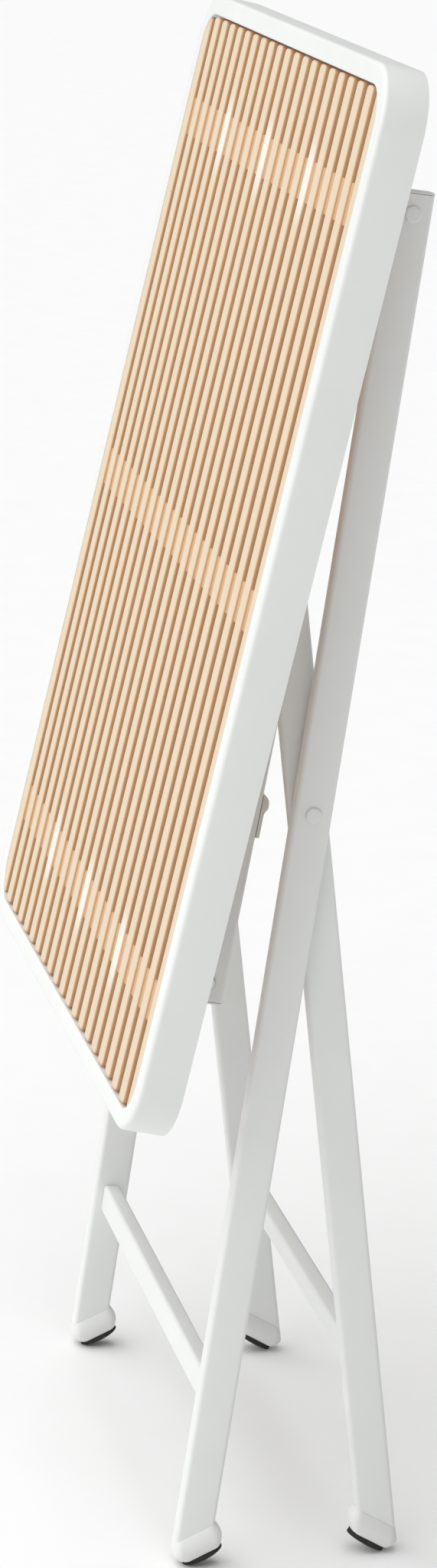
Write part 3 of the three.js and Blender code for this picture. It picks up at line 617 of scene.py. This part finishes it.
def sole(node, foot, y, place, body):
    """A rubber sole, an oval with fine upright ribs round its side."""
    deselect()
    bpy.ops.mesh.primitive_cylinder_add(
        vertices=SOLE_SIDES, radius=PAD_LENGTH / 2 * MM, depth=PAD_THICKNESS * MM,
        location=(0, 0, PAD_THICKNESS / 2 * MM))
    piece = bpy.context.object
    piece.name = node + "_ribbed"
    piece.data.name = piece.name
    bpy.ops.object.transform_apply(location=True, rotation=True, scale=True)
    pick(piece, "face", lambda c, n: True)
    bpy.ops.transform.resize(value=(0.97, PAD_WIDTH / PAD_LENGTH * 0.96, 1))
    leave()
    step = 2 * math.pi / SOLE_SIDES

    def every_other(c):
        return round(math.atan2(c.y / PAD_WIDTH, c.x / PAD_LENGTH) / step + 0.5) % 2 == 0

    pick(piece, "face", lambda c, n: abs(n.z) < 0.5 and every_other(c))
    bpy.ops.mesh.extrude_faces_move(TRANSFORM_OT_shrink_fatten={"value": SOLE_RIB * MM})
    pick(piece, "face", lambda c, n: n.z < -0.9 and c.z < 0.05)
    bpy.ops.mesh.inset(thickness=SOLE_TREAD * MM)
    leave()
    return finish(piece, place @ foot_place(foot, y), body, RUBBER, [node], angle=30)


def catch(node, y):
    """The nylon strip on the back edge of a link: a thin leaf with a rounded nose at its upper end."""
    back = TUBE_WIDTH / 2 + CATCH_GAP
    half = CATCH_LENGTH / 2
    leaf, nose, foot = back + CATCH_STRIP, back + CATCH_NOSE, half - CATCH_NOSE_LENGTH

    def at(x, z):
        return Vector((x, 0, CATCH_FROM_HINGE + z))

    outline = [at(back, -half), at(leaf, -half), at(leaf, foot - 2)]
    outline += bezier(at(leaf, foot - 2), at(leaf, foot + 1), at(nose, foot + 1), at(nose, foot + 4), 7)
    outline += bezier(at(nose, foot + 4), at(nose, half - 2), at(leaf, half), at(back, half), 9)
    piece = plate(node + "_moulded", outline, CATCH_WIDTH, y)
    pick(piece, "edge", lambda a, b: abs(a.y - b.y) < 0.01 and max(a.x, b.x) > back + 0.1)
    bpy.ops.mesh.bevel(offset=0.6 * MM, segments=3, affect="EDGES", clamp_overlap=True)
    leave()
    return finish(piece, LINK, "knee_links", NYLON, [node], angle=40)


# ---- rivets ------------------------------------------------------------------------------
def cylinder(name, radius, low, high):
    """A round bar along Y between two heights in millimetres, on the body's axis."""
    deselect()
    bpy.ops.mesh.primitive_cylinder_add(
        vertices=40, radius=radius * MM, depth=abs(high - low) * MM,
        location=(0, (low + high) / 2 * MM, 0), rotation=(math.pi / 2, 0, 0))
    piece = bpy.context.object
    piece.name = name
    bpy.ops.object.transform_apply(location=True, rotation=True, scale=True)
    return piece


def head(name, seat, direction):
    """A domed head that rises from its seat."""
    tip = seat + direction * HEAD_HEIGHT
    piece = cylinder(name, HEAD_RADIUS, seat, tip)
    pick(piece, "edge", lambda a, b: abs(a.y - tip) < 0.01 and abs(b.y - tip) < 0.01)
    bpy.ops.mesh.bevel(offset=HEAD_DOME * MM, segments=6, affect="EDGES", profile=0.6)
    leave()
    return piece


def rivet(node, place, body, ends, material=None):
    """A rivet whose length is that of its node. `ends` says which ends have a head."""
    low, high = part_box(node)
    bottom, top = low[1] / MM, high[1] / MM
    parts = [cylinder(node + "_shank", PIN_RADIUS, bottom + HEAD_HEIGHT * (-1 in ends),
                      top - HEAD_HEIGHT * (1 in ends))]
    if -1 in ends:
        parts.append(head(node + "_low", bottom + HEAD_HEIGHT, -1))
    if 1 in ends:
        parts.append(head(node + "_high", top - HEAD_HEIGHT, 1))
    piece = joined(parts, node + "_headed")
    return finish(piece, place, body, material or PLATED, [node], angle=40)


# ---- assembly ----------------------------------------------------------------------------
roll_rim()
mould_slats()
# each leg frame: its name, its place, its sole, the height of its tubes' ends and their distance out
LEG_FRAMES = (
    ("outer", OUTER, OUTER_FOOT, UPPER_LEG + END_REACH, OUTER_Y),
    ("inner", INNER, INNER_FOOT, KNEE_ARM + END_REACH, INNER_Y),
)
AT_TOP_HINGE, AT_LINK_HINGE, AT_KNEE = (Matrix.Translation(at) for at in (top_hinge, link_hinge, knee))
BOTH_ENDS = (-1, 1)
for side, sign in SIDES:
    for name, place, foot, tube_top, out in LEG_FRAMES:
        body, y = f"{name}_frame", sign * out
        leg(f"{name}_leg_{side}", foot, tube_top, y, place, body)
        end_cap(f"{name}_leg_cap_{side}", False, tube_top, y, place, body)
        shoe(f"{name}_shoe_{side}", foot, y, place, body)
        sole(f"{name}_foot_pad_{side}", foot, y, place, body)
    link_y = sign * LINK_Y
    link = tube(f"knee_link_{side}_tube", -END_REACH, LINK_LENGTH + END_REACH, link_y)
    finish(link, LINK, "knee_links", COAT, [f"knee_link_{side}"])
    end_cap(f"link_upper_cap_{side}", False, LINK_LENGTH + END_REACH, link_y, LINK, "knee_links")
    end_cap(f"link_lower_cap_{side}", True, END_REACH, link_y, LINK, "knee_links")
    catch(f"folding_catch_{side}", link_y)
    rivet(f"leg_pivot_rivet_{side}", OUTER, "outer_frame", BOTH_ENDS, COAT)
    rivet(f"top_hinge_rivet_{side}", AT_TOP_HINGE, "outer_frame", BOTH_ENDS, COAT)
    rivet(f"link_hinge_rivet_{side}", AT_LINK_HINGE, "table_top", BOTH_ENDS)
    rivet(f"knee_rivet_outer_{side}", AT_KNEE, "inner_frame", (sign,))
    rivet(f"knee_rivet_inner_{side}", AT_KNEE, "knee_links", (-sign,))
crossbar("outer_crossbar", OUTER_Y, OUTER_CROSSBAR_DROP, OUTER, "outer_frame")
crossbar("inner_crossbar", INNER_Y, INNER_CROSSBAR_DROP, INNER, "inner_frame")

# ---- floor, light and camera -------------------------------------------------------------
FLOOR_SIZE_M = 200
AIR_STRENGTH, SUN_STRENGTH, SUN_SPREAD = 0.3, 2.75, math.radians(95)
SUN_DIRECTION = Vector((0.5, 0.03, -0.72))
deselect()
bpy.ops.mesh.primitive_plane_add(size=FLOOR_SIZE_M, location=(0, 0, 0))
floor = bpy.context.object
floor.name = "studio_floor"
floor.data.materials.append(studio_paper())

world = bpy.data.worlds.new("studio_air")
bpy.context.scene.world = world
world.use_nodes = True
sky = world.node_tree.nodes["Background"]
sky.inputs["Color"].default_value = linear("#ffffff")
sky.inputs["Strength"].default_value = AIR_STRENGTH

# one broad soft light from high on the left
sun_data = bpy.data.lights.new("broad_softbox", "SUN")
sun_data.energy = SUN_STRENGTH
sun_data.angle = SUN_SPREAD
sun = bpy.data.objects.new("broad_softbox", sun_data)
bpy.context.collection.objects.link(sun)
sun.rotation_euler = SUN_DIRECTION.to_track_quat("-Z", "Y").to_euler()

# the camera: its heading, its dip, its lean and its lens, and its place from the leg pivot
HEADING, DIP, LEAN = math.radians(13.51), math.radians(14.95), math.radians(4.46)
LENS_MM, SENSOR_MM = 95.21, 36.0
FROM_PIVOT = Vector((19.34, 30.73, 2776.4)) * MM
ahead = Vector((math.sin(HEADING) * math.cos(DIP), math.cos(HEADING) * math.cos(DIP),
                -math.sin(DIP)))
level = ahead.cross(Vector((0, 0, 1))).normalized()
rise = level.cross(ahead)
right = level * math.cos(LEAN) + rise * math.sin(LEAN)
upright = rise * math.cos(LEAN) - level * math.sin(LEAN)
camera_data = bpy.data.cameras.new("studio_camera")
camera = bpy.data.objects.new("studio_camera", camera_data)
bpy.context.collection.objects.link(camera)
spot = leg_pivot - right * FROM_PIVOT.x - upright * FROM_PIVOT.y - ahead * FROM_PIVOT.z
turn = Matrix((right, upright, -ahead)).transposed().to_4x4()
camera.matrix_world = Matrix.Translation(spot) @ turn
camera_data.sensor_fit = "VERTICAL"
camera_data.sensor_height = SENSOR_MM
camera_data.lens = LENS_MM
camera_data.clip_end = 100.0
bpy.context.scene.camera = camera
bpy.context.scene.view_settings.view_transform = "Standard"
